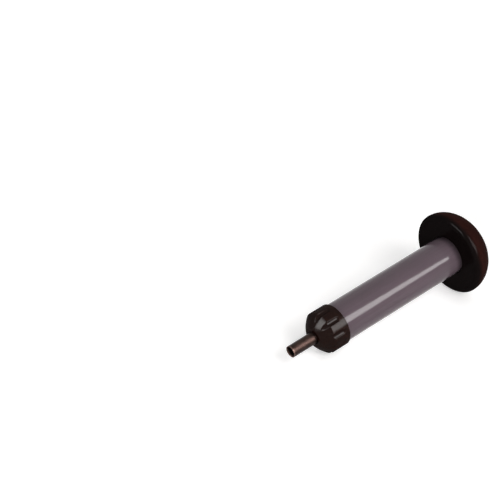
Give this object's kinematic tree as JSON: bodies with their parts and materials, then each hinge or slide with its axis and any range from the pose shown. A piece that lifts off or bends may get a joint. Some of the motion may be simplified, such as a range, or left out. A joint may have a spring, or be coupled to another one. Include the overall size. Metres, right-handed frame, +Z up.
{
  "type": "paper drill",
  "caption": "Hand-turned paper drill: hollow bit in a fluted screw collar, tube barrel and a domed palm knob that swivels.",
  "frame": {"origin": "centre of the bounding box's bottom, on the table the drill lies on", "axes": "+X from the bit's tip towards the knob along the table, +Z up; the tool's axis rises 7.18 degrees from tip to knob, because it lies on the collar and on the wider knob"},
  "size_m": [0.1514, 0.054, 0.0536],
  "materials": {
    "black_plastic": "polished black moulding",
    "grey_plastic": "smooth glossy grey tube",
    "black_steel": "blackened, polished by use",
    "bright_steel": "plain",
    "brass": "turned",
    "nylon": "natural"
  },
  "bodies": {
    "barrel": {"barrel_tube": "grey_plastic", "bit_socket": "black_plastic", "drive_sleeve": "bright_steel", "barrel_plug": "black_plastic", "spindle_screw": "bright_steel", "spindle_nut": "bright_steel", "lock_washer": "bright_steel", "thrust_washer": "nylon", "flat_washer": "bright_steel", "wave_washer": "bright_steel"},
    "knob": {"knob_dome": "black_plastic", "knob_base": "black_plastic", "knob_bush": "brass"},
    "bit": {"bit_tube": "black_steel", "bit_shank": "black_steel", "clamp_washer": "bright_steel"},
    "collar": {"collar_nut": "black_plastic"}
  },
  "joints": [
    {"name": "knob_spin", "type": "hinge", "parent": "barrel", "child": "knob", "pos_m": [0.05994, 0, 0.02726], "axis": [0.9922, 0, 0.125], "continuous": true},
    {"name": "bit_release", "type": "slide", "parent": "barrel", "child": "bit", "axis": [-0.9922, 0, -0.125], "range_m": [0, 0.01]},
    {"name": "collar_turn", "type": "hinge", "parent": "bit", "child": "collar", "pos_m": [-0.05113, 0, 0.01326], "axis": [-0.9922, 0, -0.125], "range_deg": [0, 1440]}
  ],
  "couplings": [
    {"joint": "bit_release", "follows": "collar_turn", "m_per_rad": 0.0003978}
  ]
}
